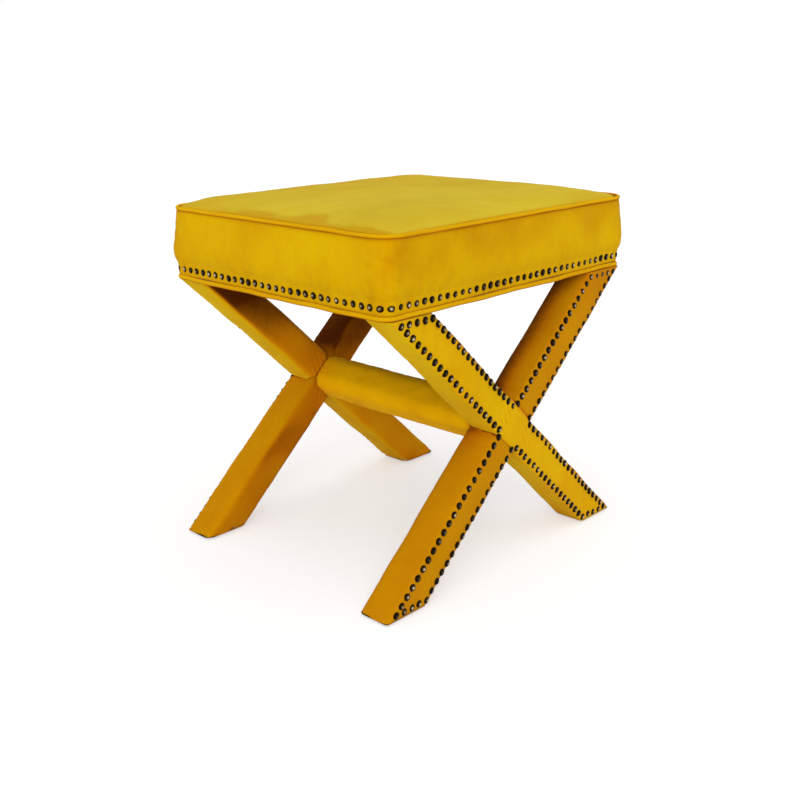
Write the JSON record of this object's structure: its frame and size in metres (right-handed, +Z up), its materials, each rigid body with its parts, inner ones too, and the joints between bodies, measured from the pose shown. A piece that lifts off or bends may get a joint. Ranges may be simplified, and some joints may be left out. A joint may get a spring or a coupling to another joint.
{
  "type": "upholstered stool",
  "caption": "Velvet-covered stool with a boxed, crowned seat on two crossed-leg frames joined by a padded stretcher, edged with rows of nail heads.",
  "frame": {"origin": "on the floor, at the centre of the footprint", "axes": "+Z up, +X along the longer side of the seat and along both X frames, +Y along the shorter side and the stretcher; the front frame is at -Y"},
  "size_m": [0.4986, 0.4076, 0.489],
  "materials": {
    "velvet": "mustard-yellow short-pile velvet",
    "piping": "the same velvet, cut on the bias over a cord",
    "nail_bronze": "dark antiqued bronze plating, bright on the crowns",
    "timber": "planed hardwood, unfinished and hidden",
    "plywood": "sanded plywood, hidden",
    "foam": "polyurethane foam and polyester wadding, hidden",
    "dust_cloth": "black non-woven dust cloth",
    "glide_nylon": "moulded black nylon",
    "steel": "zinc-plated steel, hidden"
  },
  "bodies": {
    "root": {"frame_rail_front": "timber", "frame_rail_rear": "timber", "frame_rail_left": "timber", "frame_rail_right": "timber", "corner_blocks": "timber", "front_leg_a_core": "timber", "front_leg_b_core": "timber", "rear_leg_a_core": "timber", "rear_leg_b_core": "timber", "stretcher_core": "timber", "stretcher_dowels": "timber", "seat_deck": "plywood", "deck_screws": "steel", "stretcher_bolts": "steel", "stretcher_inserts": "steel", "leg_bolts": "steel", "leg_washers": "steel", "leg_nuts": "steel", "frame_wadding": "foam", "seat_foam": "foam", "front_leg_a_foam": "foam", "front_leg_b_foam": "foam", "rear_leg_a_foam": "foam", "rear_leg_b_foam": "foam", "stretcher_foam": "foam", "seat_boxing": "velvet", "seat_top_panel": "velvet", "front_leg_a_cover": "velvet", "front_leg_b_cover": "velvet", "rear_leg_a_cover": "velvet", "rear_leg_b_cover": "velvet", "stretcher_cover": "velvet", "top_welt": "piping", "bottom_welt": "piping", "dust_cover": "dust_cloth", "seat_nails_front": "nail_bronze", "seat_nails_rear": "nail_bronze", "seat_nails_left": "nail_bronze", "seat_nails_right": "nail_bronze", "front_leg_nails": "nail_bronze", "rear_leg_nails": "nail_bronze", "foot_glides": "glide_nylon"}
  },
  "joints": []
}
